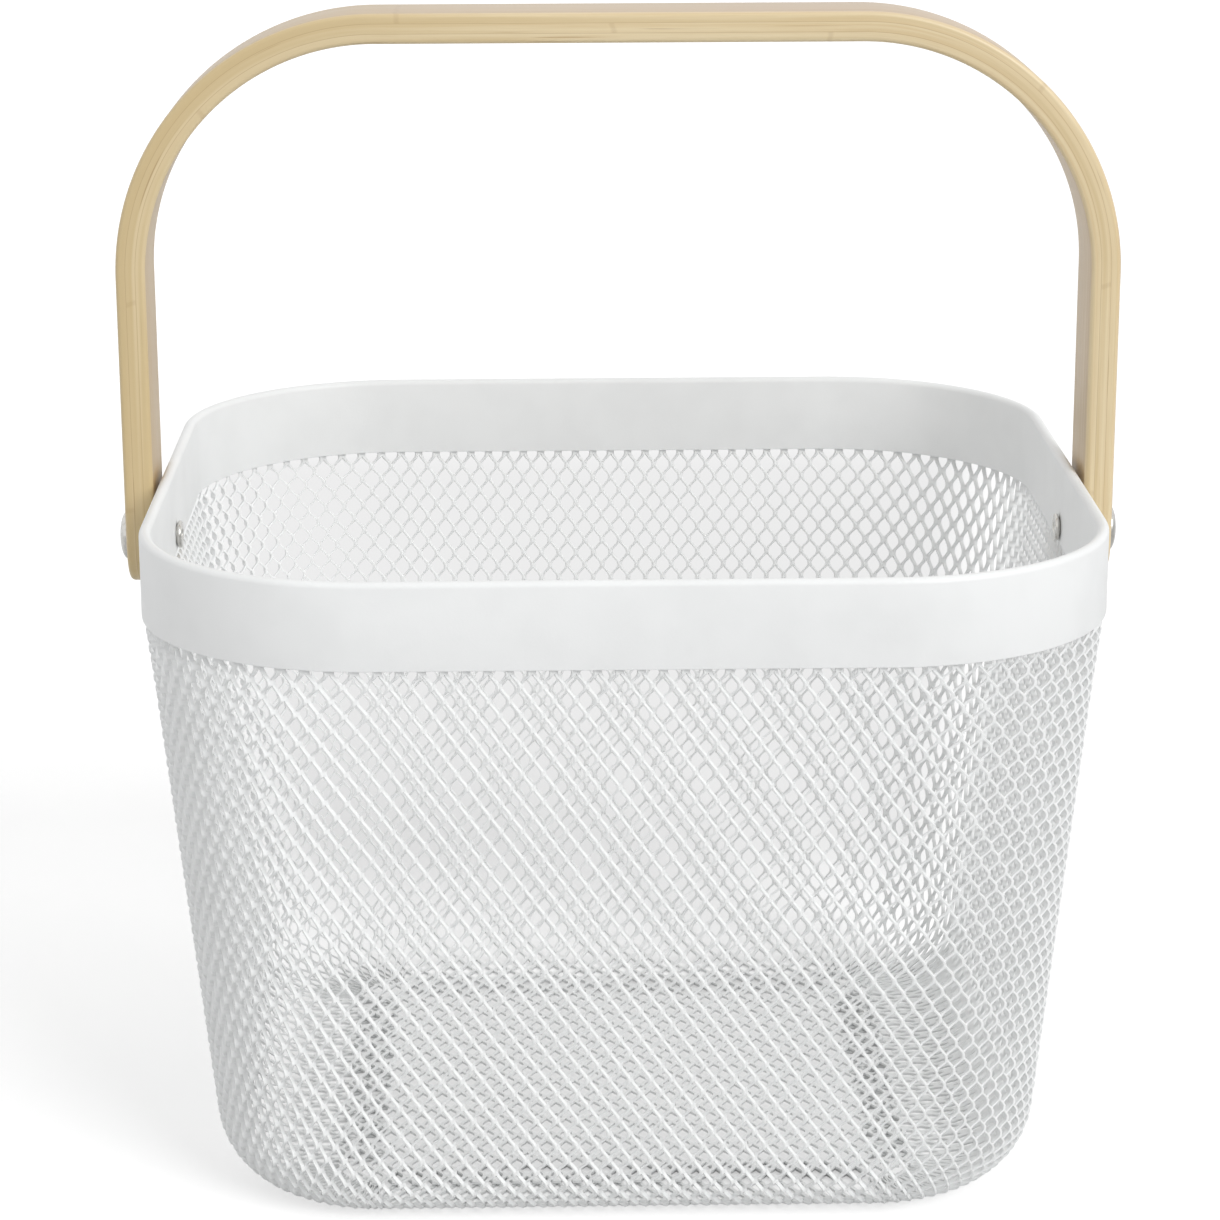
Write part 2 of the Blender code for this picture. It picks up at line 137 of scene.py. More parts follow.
class NodeBench:
    """A material's or world's node tree, with one method that adds any node."""

    def __init__(self, owner: Any) -> None:
        """Clear the owner's node tree and keep it for building."""
        owner.use_nodes = True
        self.owner = owner
        self.tree = owner.node_tree
        self.tree.nodes.clear()

    def node(
        self,
        kind: str,
        settings: dict[str, Any] | None = None,
        inputs: dict[str | int, Any] | None = None,
    ) -> bpy.types.Node:
        """Add a node, set it, then fill or link its inputs.

        Args:
            kind: The node's Blender type.
            settings: Attributes of the node, set before its inputs.
            inputs: Numbers, colours, sockets or Values by input name or place.

        Returns:
            The new node.
        """
        made = self.tree.nodes.new(kind)
        for name, setting in (settings or {}).items():
            setattr(made, name, setting)
        for name, given in (inputs or {}).items():
            socket = made.inputs[name]
            if isinstance(given, Value):
                given = given.socket
            if isinstance(given, bpy.types.NodeSocket):
                self.tree.links.new(given, socket)
            else:
                socket.default_value = given
        return made

    def mix(self, share: Any, first: Any, second: Any) -> bpy.types.NodeSocket:
        """Blend two colours.

        Args:
            share: How much of the second colour, a number or Value.
            first: The colour at share 0, a tuple or socket.
            second: The colour at share 1, a tuple or socket.

        Returns:
            The blended colour.
        """
        # A Mix node has its colour sockets at places 6 and 7, and its result at place 2.
        settings = {"data_type": "RGBA"}
        return self.node("ShaderNodeMix", settings, {0: share, 6: first, 7: second}).outputs[2]

    def join(self, x: Any, y: Any, z: Any) -> bpy.types.NodeSocket:
        """Make a vector of three values."""
        return self.node("ShaderNodeCombineXYZ", {}, {0: x, 1: y, 2: z}).outputs[0]

    def split(self, vector: bpy.types.NodeSocket) -> tuple[Value, Value, Value]:
        """Part a vector into its three values."""
        node = self.node("ShaderNodeSeparateXYZ", {}, {0: vector})
        return tuple(Value(self, socket) for socket in node.outputs)

    def noise(self, vector: Any, scale: float, detail: float = 2.0, rough: float = 0.5) -> Value:
        """Return soft random values about 0.5.

        Args:
            vector: Where the noise is read.
            scale: How many of its features fit one unit of the vector.
            detail: How many finer layers it has.
            rough: How strong the finer layers are.

        Returns:
            The noise.
        """
        inputs = {"Vector": vector, "Scale": scale, "Detail": detail, "Roughness": rough}
        return Value(self, self.node("ShaderNodeTexNoise", {}, inputs).outputs[0])

    def place(self) -> bpy.types.NodeSocket:
        """Return the place on the piece in its own metres."""
        return self.node("ShaderNodeTexCoord").outputs["Object"]

    def bump(self, height: Value, depth: float) -> bpy.types.NodeSocket:
        """Return normals that follow a height from 0 to 1, in metres of depth."""
        return self.node("ShaderNodeBump", {}, {"Distance": depth, "Height": height}).outputs[0]

    def principled(self, inputs: dict[str, Any]) -> None:
        """End the tree in a Principled shader with these inputs."""
        shader = self.node("ShaderNodeBsdfPrincipled", {}, inputs)
        self.node("ShaderNodeOutputMaterial", {}, {"Surface": shader.outputs[0]})


@dataclass(frozen=True)
class PowderCoat:
    """Satin white powder coat: faint clouding, and a fine orange peel in relief."""

    colour: Colour = (0.88, 0.89, 0.89, 1.0)
    clouded: Colour = (0.85, 0.86, 0.86, 1.0)
    roughness: float = 0.44
    peel_per_metre: float = 1500.0
    peel_detail: float = 3.0
    peel_depth: float = 0.02 * MM
    peel_roughness: float = 0.08
    cloud_per_metre: float = 60.0
    cloud_limits: tuple[float, float] = (0.35, 0.75)
    specular: float = 0.5

    def material(self, name: str) -> bpy.types.Material:
        """Build the finish as a material of the given name."""
        bench = NodeBench(bpy.data.materials.new(name))
        place = bench.place()
        cloud = bench.noise(place, self.cloud_per_metre).ramp(*self.cloud_limits)
        peel = bench.noise(place, self.peel_per_metre, self.peel_detail)
        bench.principled({
            "Base Color": bench.mix(cloud, self.colour, self.clouded),
            "Roughness": self.roughness + self.peel_roughness * (peel - 0.5),
            "Normal": bench.bump(peel, self.peel_depth),
            "Specular IOR Level": self.specular,
        })
        return bench.owner


# The net's coat is painted a shade whiter than the rim's: painted light for the net's shaded
# strands and crevices.
PAINTED_LIGHT_NET_COAT = PowderCoat(colour=(0.89, 0.90, 0.90, 1.0), clouded=(0.87, 0.88, 0.88, 1.0))


@dataclass(frozen=True)
class Nickel:
    """Bright nickel plate with faint handling marks."""

    colour: Colour = (0.66, 0.65, 0.62, 1.0)
    dulled: Colour = (0.52, 0.50, 0.46, 1.0)
    dulled_limits: tuple[float, float] = (0.45, 0.8)
    roughness: float = 0.16
    marks_per_metre: float = 900.0
    marks_detail: float = 4.0
    marks_fineness: float = 0.6
    marks_depth: float = 0.01 * MM
    marks_roughness: float = 0.18
    marks_limits: tuple[float, float] = (0.4, 0.9)

    def material(self, name: str) -> bpy.types.Material:
        """Build the finish as a material of the given name."""
        bench = NodeBench(bpy.data.materials.new(name))
        place = bench.place()
        marks = bench.noise(place, self.marks_per_metre, self.marks_detail, self.marks_fineness)
        scuffs = marks.ramp(*self.marks_limits)
        bench.principled({
            "Base Color": bench.mix(marks.ramp(*self.dulled_limits), self.colour, self.dulled),
            "Roughness": self.roughness + self.marks_roughness * scuffs,
            "Metallic": 1.0,
            "Normal": bench.bump(marks, self.marks_depth),
        })
        return bench.owner


@dataclass(frozen=True)
class Grain:
    """A noise stretched along the strip: how often it changes per unit each way."""

    along: float
    across: float
    depth: float
    detail: float = 2.0
    fineness: float = 0.5

    def noise(self, bench: NodeBench, along: Value, across: Value, depth: Value) -> Value:
        """Return the noise at a place on the strip."""
        place = bench.join(along * self.along, across * self.across, depth * self.depth)
        return bench.noise(place, 1.0, self.detail, self.fineness)


@dataclass(frozen=True)
class LacqueredBamboo:
    """Strips of bamboo glued face to face: fibres, growth rings, glue lines and lacquer."""

    pale: Colour = (0.79, 0.66, 0.43, 1.0)
    straw: Colour = (0.66, 0.50, 0.27, 1.0)
    # A darker golden tone for aged fibres and laminations, also used as the left leg's painted
    # shade
    aged_and_painted_shade: Colour = (0.60, 0.46, 0.24, 1.0)
    brown: Colour = (0.36, 0.21, 0.09, 1.0)
    rosy: Colour = (0.74, 0.60, 0.44, 1.0)
    thickness: float = 8.0 * MM
    layers: int = 3
    layer_shift: float = 0.61
    fibre: Grain = Grain(14.0, 900.0, 900.0, 4.0, 0.6)
    hair: Grain = Grain(90.0, 5200.0, 5200.0)
    streak: Grain = Grain(30.0, 1500.0, 1500.0, 1.0)
    cloud: Grain = Grain(9.0, 60.0, 200.0)
    band: Grain = Grain(5.0, 3.7, 420.0, 1.0)
    ring_spacing: float = 0.173
    ring_half_width: float = 1.1 * MM
    ring_start: float = 31.0 * MM
    ring_layer_shift: float = 57.0 * MM
    ring_sway: float = 2.4 * MM
    sway: Grain = Grain(300.0, 300.0, 1.0)
    roughness: float = 0.34
    fibre_roughness: float = 0.14
    streak_roughness: float = 0.1
    relief: float = 0.03 * MM
    coat: float = 0.25
    coat_roughness: float = 0.2
    place_name: str = "strip_place"

    def material(self, name: str) -> bpy.types.Material:
        """Build the finish as a material that reads the strip's own places."""
        bench = NodeBench(bpy.data.materials.new(name))
        settings = {"attribute_name": self.place_name}
        strip = bench.node("ShaderNodeAttribute", settings).outputs["Vector"]
        along, across, depth = bench.split(strip)
        level = (depth / self.thickness + 0.5) * self.layers
        layer = level.floor().at_least(0.0).at_most(self.layers - 1.0)
        seam = (level.part() - 0.5).magnitude().ramp(0.46, 0.5)

        shifted = along + self.layer_shift * layer
        fibres = self.fibre.noise(bench, shifted, across, depth)
        hairs = self.hair.noise(bench, shifted, across, depth)
        streaks = self.streak.noise(bench, shifted, across, depth).ramp(0.69, 0.78)
        clouds = self.cloud.noise(bench, shifted, across, depth)
        bands = self.band.noise(bench, along, layer, depth)

        sway = (self.sway.noise(bench, across, depth, layer) - 0.5) * self.ring_sway
        turns = along + sway + self.ring_layer_shift * layer + self.ring_start
        from_ring = ((turns / self.ring_spacing).part() - 0.5).magnitude() * self.ring_spacing
        ring = from_ring.ramp(self.ring_half_width, 0.2 * self.ring_half_width)

        outer = depth.ramp(0.43 * self.thickness, 0.5 * self.thickness)
        # Painted shade: the left leg is painted darker, and both legs darken towards their lower
        # ends
        left, low = along.ramp(0.0, -0.10), along.magnitude().ramp(0.24, 0.30)
        # Each stain, and the painted shade on the left leg, is a share of a colour, laid over the
        # wood as it is by then.
        stains_and_painted_shade = [
            (fibres.ramp(0.3, 0.75) * 0.75, self.straw),
            (outer * 0.75, self.rosy),
            (clouds.ramp(0.45, 0.8) * 0.45, self.straw),
            # Painted shade on the left leg, and a darker tone towards the legs' lower ends
            ((left * 0.8 + low * 0.3).at_most(1.0), self.aged_and_painted_shade),
            # Each lamination has its own tone, which drifts along it in broad bands.
            (bands.ramp(0.52, 0.68) * 0.5, self.pale),
            (bands.ramp(0.46, 0.30) * 0.45, self.aged_and_painted_shade),
            (hairs.ramp(0.5, 0.85) * 0.4, self.aged_and_painted_shade),
            (streaks * 0.55, self.brown),
            (ring * 0.16, self.brown),
            (seam * 0.5, self.brown),
        ]
        wood = self.pale
        for share, colour in stains_and_painted_shade:
            wood = bench.mix(share, wood, colour)
        height = hairs * 0.5 + fibres * 0.3 - ring * 0.3 - seam * 0.4
        bench.principled({
            "Base Color": wood,
            "Roughness": (
                self.roughness + self.fibre_roughness * fibres + self.streak_roughness * streaks
            ),
            "Normal": bench.bump(height, self.relief),
            "Coat Weight": self.coat,
            "Coat Roughness": self.coat_roughness,
        })
        return bench.owner


# Meshes


def beside(*values: Any) -> np.ndarray:
    """Put arrays of one shape side by side, as the last axis."""
    return np.stack(values, axis=-1)


def arc(centre: Sequence[float], radii: Sequence[float], turn: np.ndarray) -> np.ndarray:
    """Return rows of the centre plus (first radius cos turn, second radius sin turn)."""
    return beside(centre[0] + radii[0] * np.cos(turn), centre[1] + radii[1] * np.sin(turn))


def ladder(rings: np.ndarray) -> np.ndarray:
    """Return the quads between closed rings of point numbers, one ring in each row."""
    after = np.roll(rings, -1, axis=1)
    return beside(rings[:-1], after[:-1], after[1:], rings[1:]).reshape(-1, 4)


def smooth(mesh: bpy.types.Mesh, crease_degrees: float = CREASE_DEGREES) -> None:
    """Shade a mesh smooth between edges that bend more than the crease."""
    mesh.shade_smooth()
    mesh.set_sharp_from_angle(angle=math.radians(crease_degrees))


def outward(points: np.ndarray, faces: Sequence[np.ndarray]) -> list[np.ndarray]:
    """Turn a closed surface's faces round if they enclose a negative volume.

    The volume is the sum over the faces' fans of first . (second x third) / 6.

    Args:
        points: The surface's points, one row each.
        faces: Arrays of faces, each array with faces of one size.

    Returns:
        The arrays of faces, all reversed or none.
    """
    volume = 0.0
    for group in faces:
        first = points[group[:, 0]]
        for k in range(1, group.shape[1] - 1):
            normal = np.cross(points[group[:, k]], points[group[:, k + 1]])
            volume += float(np.einsum("ij,ij->", first, normal))
    return [group[:, ::-1] for group in faces] if volume < 0 else list(faces)


def make_piece(
    name: str,
    points: np.ndarray,
    faces: Sequence[np.ndarray],
    material: bpy.types.Material,
    crease_degrees: float = CREASE_DEGREES,
) -> bpy.types.Object:
    """Put a surface into a new object at the origin.

    Args:
        name: The piece's name.
        points: Its points in metres, one row each.
        faces: Arrays of faces, each array with faces of one size.
        material: Its finish.
        crease_degrees: Edges that bend more than this are shaded sharp.

    Returns:
        The object.
    """
    corners = np.concatenate([group.ravel() for group in faces]).astype(np.int32)
    sizes = np.concatenate([np.full(len(group), group.shape[1]) for group in faces])
    starts = np.concatenate([[0], np.cumsum(sizes)[:-1]]).astype(np.int32)
    mesh = bpy.data.meshes.new(name)
    mesh.vertices.add(len(points))
    mesh.vertices.foreach_set("co", points.astype(np.float32).ravel())
    mesh.loops.add(len(corners))
    mesh.loops.foreach_set("vertex_index", corners)
    mesh.polygons.add(len(sizes))
    mesh.polygons.foreach_set("loop_start", starts)
    mesh.update(calc_edges=True)
    smooth(mesh, crease_degrees)
    mesh.materials.append(material)
    made = bpy.data.objects.new(name, mesh)
    bpy.context.scene.collection.objects.link(made)
    return made


def lathe(profile: np.ndarray, turns: int, side: Side, height: float) -> tuple:
    """Turn a profile about the rivet line.

    A point is (side * x, r cos t, height + r sin t) for each pair x, r of the profile
    and each of the even turns t. Both ends of the profile are poles.

    Args:
        profile: Rows of (place along X, radius), the first and last with radius 0.
        turns: How many points a ring has.
        side: The end of the rivet line.
        height: The rivet line's height.

    Returns:
        Points, and arrays of quads and of triangles.
    """
    angle = 2 * np.pi * np.arange(turns) / turns
    x, r = profile[1:-1, 0], profile[1:-1, 1]
    rings = beside(
        np.repeat(side.value * x[:, None], turns, axis=1),
        r[:, None] * np.cos(angle),
        height + r[:, None] * np.sin(angle),
    ).reshape(-1, 3)
    poles = [[side.value * profile[k, 0], 0.0, height] for k in (0, -1)]
    points = np.concatenate([rings, poles])
    here = np.arange(len(x) * turns).reshape(len(x), turns)
    after = np.roll(here, -1, axis=1)
    near, far = np.full(turns, len(rings)), np.full(turns, len(rings) + 1)
    ends = [beside(near, after[0], here[0]), beside(far, here[-1], after[-1])]
    return points, outward(points, [ladder(here), np.concatenate(ends)])


def bore(piece: bpy.types.Object, radius: float, height: float, reach: float) -> None:
    """Cut a round hole right through a piece along the rivet line, and smooth the result.

    Args:
        piece: The piece, whose mesh is replaced.
        radius: The hole's radius.
        height: The rivet line's height.
        reach: How far the cut goes either side of the middle.
    """
    profile = np.array([(-reach, 0.0), (-reach, radius), (reach, radius), (reach, 0.0)])
    points, faces = lathe(profile, BORE_TURNS, Side.RIGHT, height)
    cutter = make_piece(piece.name + "_cutter", points, faces, piece.active_material)
    cut = piece.modifiers.new("rivet_hole", "BOOLEAN")
    cut.operation = "DIFFERENCE"
    cut.solver = "EXACT"
    cut.object = cutter
    view = bpy.context.evaluated_depsgraph_get()
    bored = bpy.data.meshes.new_from_object(piece.evaluated_get(view))
    piece.modifiers.clear()
    piece.data = bored
    bpy.data.objects.remove(cutter, do_unlink=True)
    smooth(piece.data)


# Expanded metal


@dataclass(frozen=True)
class ExpandedMetal:
    """Raised expanded metal, laid out flat: zigzag strips that meet at knots.

    Strip k runs down between knot columns k and k + 1. Stretching turns it on edge: its
    left side stands out and its right side lies in. At a knot the strip on the left
    steps out and the one on the right steps in, so that their sides meet. Flat places
    are (along, down, out).
    """

    half_width: float = 2.688 * MM
    half_height: float = 3.785 * MM
    strip_width: float = 1.2 * MM
    thickness: float = 0.7 * MM
    raised_lean: float = math.radians(65.0)
    flat_lean: float = math.radians(5.0)
    knot_half_length: float = 0.55 * MM
    edge_round: float = 0.09 * MM
    bow_share: float = 0.5
    strand_steps: int = 3

    def half_depth(self, lean: np.ndarray | float) -> np.ndarray | float:
        """Return how far metal of a lean reaches either side of its middle surface."""
        return self.strip_width * np.sin(lean) + self.thickness * np.cos(lean) / 2

    def _section(
        self, square_left: np.ndarray, square_right: np.ndarray, lean: np.ndarray
    ) -> tuple:
        """Return the six points round a strip's cross-section, as along and out offsets.

        The order is front left, front right, middle right, back right, back left,
        middle left. The middles bulge, except on a side where two strips meet.

        Args:
            square_left: Where, over strips and cuts, the left side doesn't bulge.
            square_right: The same for the right side.
            lean: The lean at each cut.

        Returns:
            Along offsets and out offsets, each with the six points as its last axis.
        """
        wide, deep = self.strip_width / 2, self.thickness / 2
        shy = wide - self.edge_round
        across_left = np.where(square_left, wide, shy)
        across_right = np.where(square_right, wide, shy)
        middle = np.full_like(across_left, wide)
        across = beside(-across_left, across_right, middle, across_right, -across_left, -middle)
        thick = deep * np.array([1.0, 1.0, 0.0, -1.0, -1.0, 0.0])
        cos, sin = np.cos(lean)[:, None], np.sin(lean)[:, None]
        return across * cos + thick * sin, thick * cos - across * sin

    def weave(
        self,
        present: np.ndarray,
        parity: int,
        step: tuple[float, float],
        first_down: float,
        lean_at: Callable[[np.ndarray], np.ndarray],
    ) -> tuple:
        """Build the closed surface of a net.

        Row r of strip k lies at its left knot column, u = 0, where parity + k + r is
        even and at its right one, u = 1, where it is odd. Between rows u swings over by
        (1 - bow) t + bow (3 t^2 - 2 t^3). With the lean a, the strip's middle lies at
        w cos(a) / 2 + u (column step - w cos(a)) along and (2 u - 1) w sin(a) / 2 out.

        Args:
            present: Whether each strip, by rows, has its part of the knot there.
            parity: 0 or 1, which knots of the first column exist.
            step: The distance between knot columns and between rows.
            first_down: How far down the first row lies.
            lean_at: Gives the strips' lean at places down.

        Returns:
            Flat points as rows of (along, down, out), and quads.
        """
        strips, rows = present.shape
        k = np.arange(strips)[:, None]
        at_left = (parity + k + np.arange(rows)) % 2 == 0

        def by_cut(values: np.ndarray, count: int) -> np.ndarray:
            """Return values by strips, rows and cuts as strips and their first cuts."""
            return values.reshape(strips, -1)[:, :count]

        # Each row has its knot cuts, then come the cuts of the strand to the next row.
        t = np.arange(1, self.strand_steps + 1) / (self.strand_steps + 1)
        swing = (1 - self.bow_share) * t + self.bow_share * (3 * t**2 - 2 * t**3)
        cuts = KNOT_CUTS + self.strand_steps
        last = (rows - 1) * cuts + KNOT_CUTS
        over = np.repeat(np.where(at_left, 0.0, 1.0)[:, :, None], cuts, axis=2)
        over[:, :-1, KNOT_CUTS:] += np.diff(over[:, :, 0], axis=1)[:, :, None] * swing
        over = by_cut(over, last)
        knot_downs = [-self.knot_half_length, self.knot_half_length]
        strand_downs = self.knot_half_length + t * (step[1] - 2 * self.knot_half_length)
        down = first_down + np.arange(rows)[:, None] * step[1]
        down = (down + np.concatenate([knot_downs, strand_downs])).reshape(-1)[:last]
        lean = lean_at(down)
        across = self.strip_width * np.cos(lean)
        along = k * step[0] + across / 2 + over * (step[0] - across)
        out = (2 * over - 1) * self.strip_width * np.sin(lean) / 2

        is_knot = np.zeros((rows, cuts), bool)
        is_knot[:, :KNOT_CUTS] = True
        left_cut = by_cut(at_left[:, :, None] & is_knot, last)
        right_cut = by_cut(~at_left[:, :, None] & is_knot, last)
        section_along, section_out = self._section(left_cut, right_cut, lean)
        points = beside(
            along[..., None] + section_along,
            np.broadcast_to(down[:, None], section_along.shape),
            out[..., None] + section_out,
        )

        ids = np.arange(strips * last * SECTION_POINTS).reshape(strips, last, SECTION_POINTS)
        both = np.zeros((strips, rows), bool)
        both[1:] = present[1:] & present[:-1] & at_left[1:]
        shared = by_cut(both[:, :, None] & is_knot, last)
        # The left points of the right strip become the right points of the left strip.
        for left, right in ((0, 1), (5, 2), (4, 3)):
            ids[1:, :, left] = np.where(shared[1:], ids[:-1, :, right], ids[1:, :, left])

        # A span joins a cut to the next: at the knot, or along the strand after it.
        has_strand = present.copy()
        has_strand[:, :-1] &= present[:, 1:]
        has_strand[:, -1] = False
        kept = np.repeat(has_strand[:, :, None], cuts, axis=2)
        kept[:, :, 0] = present
        sides = np.repeat(by_cut(kept, last - 1)[:, :, None], SECTION_POINTS, axis=2)
        merged = np.zeros((strips, rows, cuts), bool)
        merged[:, :, 0] = both
        merged = by_cut(merged, last - 1)
        sides[:, :, 4:] &= ~merged[:, :, None]
        sides[:-1, :, 1:3] &= ~merged[1:, :, None]
        upper, lower = ids[:, :-1], ids[:, 1:]
        around = np.roll(np.arange(SECTION_POINTS), -1)
        quads = beside(upper, lower, lower[..., around], upper[..., around])[sides]

        # Ends close with two quads, (0, 1, 2, 5) and (5, 2, 3, 4).
        above = np.zeros_like(present)
        above[:, 1:] = present[:, :-1]
        below = np.zeros_like(present)
        below[:, :-1] = present[:, 1:]
        first_cut = np.arange(rows) * cuts
        tops = ids[:, first_cut][present & ~above]
        foots = ids[:, first_cut + 1][present & ~below]
        caps = [tops[:, [0, 1, 2, 5]], tops[:, [5, 2, 3, 4]]]
        caps += [foots[:, [5, 2, 1, 0]], foots[:, [4, 3, 2, 5]]]
        quads = np.concatenate([quads, *caps])
        used, quads = np.unique(quads, return_inverse=True)
        return points.reshape(-1, 3)[used], quads.reshape(-1, 4)


@dataclass(frozen=True)
class Stretch:
    """One of the wall's eight stretches, between two corner centres."""

    node: str
    start: tuple[float, float]
    end: tuple[float, float]
    turn_from: float
    turn_to: float
    columns: int
    parity: int


@dataclass
class MeshWall:
    """The wall: one strip of expanded metal that turns under into a flat flange."""

    rim_width: float = 250.0 * MM
    rim_depth: float = 242.0 * MM
    rim_corner_radius: float = 60.5 * MM
    top_radius: float = 59.45 * MM
    top: float = 177.0 * MM
    rim_bottom: float = 157.5 * MM
    bend_height: float = 4.0 * MM
    base_corner_radius: float = 43.5 * MM
    fillet: float = 22.0 * MM
    flange_width: float = 22.0 * MM
    corner_flange: float = 11.0 * MM
    fillet_steps: int = 48
    side_columns: int = 45
    front_columns: int = 48
    corner_columns: int = 30
    rows: int = 54
    slot_shift: float = 0.3 * MM
    slot_lean: float = math.radians(22.0)
    slot_lean_fade: float = 4.0 * MM
    metal: ExpandedMetal = field(default_factory=ExpandedMetal)
    finish: PowderCoat = field(default_factory=lambda: PAINTED_LIGHT_NET_COAT)

    def __post_init__(self) -> None:
        """Work out the wall's section from its sizes."""
        self.down, self.radii, self.heights, self.tilts = self._stations()

    def _stations(self) -> tuple:
        """Return arc length, corner radius, height and normal tilt down the outside.

        From the top: upright in the rim, a slight bend, a straight lean inwards, the
        fillet and the flange. On the fillet, r = c + f cos(tilt), z = f - f sin(tilt).
        """
        bend_z = self.rim_bottom - self.bend_height
        lean = math.atan((self.top_radius - self.base_corner_radius) / bend_z)
        centre = self.base_corner_radius + self.fillet * (math.tan(lean) - 1 / math.cos(lean))
        tilts = np.linspace(lean, math.pi / 2, self.fillet_steps + 1)
        head = [
            (self.top_radius, self.top, 0.0),
            (self.top_radius, self.rim_bottom, 0.0),
            (self.top_radius, bend_z, lean),
        ]
        turned = arc((centre, self.fillet), (self.fillet, -self.fillet), tilts)
        tail = [(centre - self.flange_width, 0.0, math.pi / 2)]
        table = np.concatenate([head, np.column_stack([turned, tilts]), tail])
        steps = np.hypot(np.diff(table[:, 0]), np.diff(table[:, 1]))
        return np.concatenate([[0.0], np.cumsum(steps)]), table[:, 0], table[:, 1], table[:, 2]

    def stretches(self) -> list[Stretch]:
        """Return the eight stretches, anticlockwise from the +X side."""
        x = self.rim_width / 2 - self.rim_corner_radius
        y = self.rim_depth / 2 - self.rim_corner_radius
        centres = [(x, -y), (x, y), (-x, y), (-x, -y)]
        sides = ("right", "back", "left", "front")
        corners = ("back_right", "back_left", "front_left", "front_right")
        found = []
        column = 0
        for quarter, (side, corner) in enumerate(zip(sides, corners)):
            start, end = centres[quarter], centres[(quarter + 1) % 4]
            facing = quarter * math.pi / 2
            turned = facing + math.pi / 2
            count = self.front_columns if quarter % 2 else self.side_columns
            found.append(Stretch("wall_" + side, start, end, facing, facing, count, column % 2))
            column += count
            count = self.corner_columns
            found.append(Stretch("corner_" + corner, end, end, facing, turned, count, column % 2))
            column += count
        return found

    def lean_at(self, down: np.ndarray) -> np.ndarray:
        """Return the strips' lean: pressed flatter in the rim, and flat in the flange."""
        slot_end = self.down[1]
        places = [slot_end, slot_end + self.slot_lean_fade, self.down[3], self.down[-2]]
        raised = self.metal.raised_lean
        return np.interp(down, places, [self.slot_lean, raised, raised, self.metal.flat_lean])

    def bend(self, stretch: Stretch, flat: np.ndarray) -> np.ndarray:
        """Bend flat places of a stretch into the wall.

        The corner centre slides and the outward angle turns evenly along the stretch.
        A place is centre + radius (cos angle, sin angle) at its height, moved in along
        the tilted normal by its depth.

        Args:
            stretch: The stretch.
            flat: Rows of (share along the stretch, down, out).

        Returns:
            Rows of world places.
        """
        share, down, out = flat.T
        start, end = np.array(stretch.start), np.array(stretch.end)
        centre = start + (end - start) * share[:, None]
        angle = stretch.turn_from + (stretch.turn_to - stretch.turn_from) * share
        tilt = np.interp(down, self.down, self.tilts)
        # In the rim the metal moves out a little, to run down the middle of the slot.
        fall = [self.down[1], 2 * self.down[1]]
        shift = np.interp(down, fall, [self.slot_shift, 0.0])
        depth = self.metal.half_depth(self.lean_at(down)) - out - shift
        radius = np.interp(down, self.down, self.radii) - depth * np.cos(tilt)
        height = np.interp(down, self.down, self.heights) + depth * np.sin(tilt)
        return np.column_stack([arc(centre.T, (radius, radius), angle), height])

    def build(self) -> None:
        """Build every stretch of the wall in place of its CAD node."""
        length = self.down[-1]
        row_step = (length - 2 * self.metal.knot_half_length) / self.rows
        rows = self.metal.knot_half_length + row_step * np.arange(self.rows + 1)
        for stretch in self.stretches():
            # The flange is notched at the corners, where it would have to crumple.
            notched = stretch.turn_to > stretch.turn_from
            cut = self.down[-2] + self.corner_flange if notched else length
            present = np.broadcast_to(rows <= cut, (stretch.columns, len(rows)))
            step = (self.metal.half_width, row_step)
            flat, quads = self.metal.weave(present, stretch.parity, step, rows[0], self.lean_at)
            flat[:, 0] /= stretch.columns * self.metal.half_width
            name = stretch.node + "_net"
            finish = self.finish.material(name + "_coat")
            places = self.bend(stretch, flat)
            piece = make_piece(name, places, [quads], finish, NET_CREASE_DEGREES)
            hand_over(piece, "basket", stretch.node)

    @property
    def flange_thickness(self) -> float:
        """How thick the pressed metal of the flange is."""
        return 2 * self.metal.half_depth(self.metal.flat_lean)

    @property
    def floor_corner_radius(self) -> float:
        """The corner radius of the edge where the fillet meets the flange."""
        return float(self.radii[-2])


@dataclass
class MeshFloor:
    """The flat sheet of expanded metal that lies on the flange."""

    wall: MeshWall
    edge_margin: float = 8.0 * MM
    clearance: float = 0.15 * MM
    finish: PowderCoat = field(default_factory=lambda: PAINTED_LIGHT_NET_COAT)

    def build(self) -> None:
        """Build the sheet, clipped at knots to its round cornered edge."""
        metal = self.wall.metal
        step = (metal.half_width, metal.half_height)
        corner_x = self.wall.rim_width / 2 - self.wall.rim_corner_radius
        corner_y = self.wall.rim_depth / 2 - self.wall.rim_corner_radius
        reach = self.wall.floor_corner_radius - self.edge_margin
        half_columns = int((corner_x + reach) / step[0])
        half_rows = int((corner_y + reach) / step[1])
        strips, rows = 2 * half_columns, 2 * half_rows + 1
        k = np.arange(strips)[:, None]
        row = np.arange(rows)
        at_left = (k + row) % 2 == 0
        x = (k + np.where(at_left, 0, 1) - half_columns) * step[0]
        y = (row - half_rows)[None, :] * step[1]
        past_x = np.maximum(0.0, np.abs(x) - corner_x)
        past_y = np.maximum(0.0, np.abs(y) - corner_y)
        inside = np.hypot(past_x, past_y) <= reach
        flat, quads = metal.weave(
            inside, 0, step, 0.0, lambda down: np.full_like(down, metal.flat_lean)
        )
        flange = self.wall.flange_thickness
        middle = flange + self.clearance + flange / 2
        points = beside(
            flat[:, 0] - half_columns * step[0],
            half_rows * step[1] - flat[:, 1],
            middle + flat[:, 2],
        )
        finish = self.finish.material("floor_net_coat")
        piece = make_piece("floor_net", points, [quads], finish, NET_CREASE_DEGREES)
        hand_over(piece, "basket", "floor_mesh")


# Rim, handle and rivets


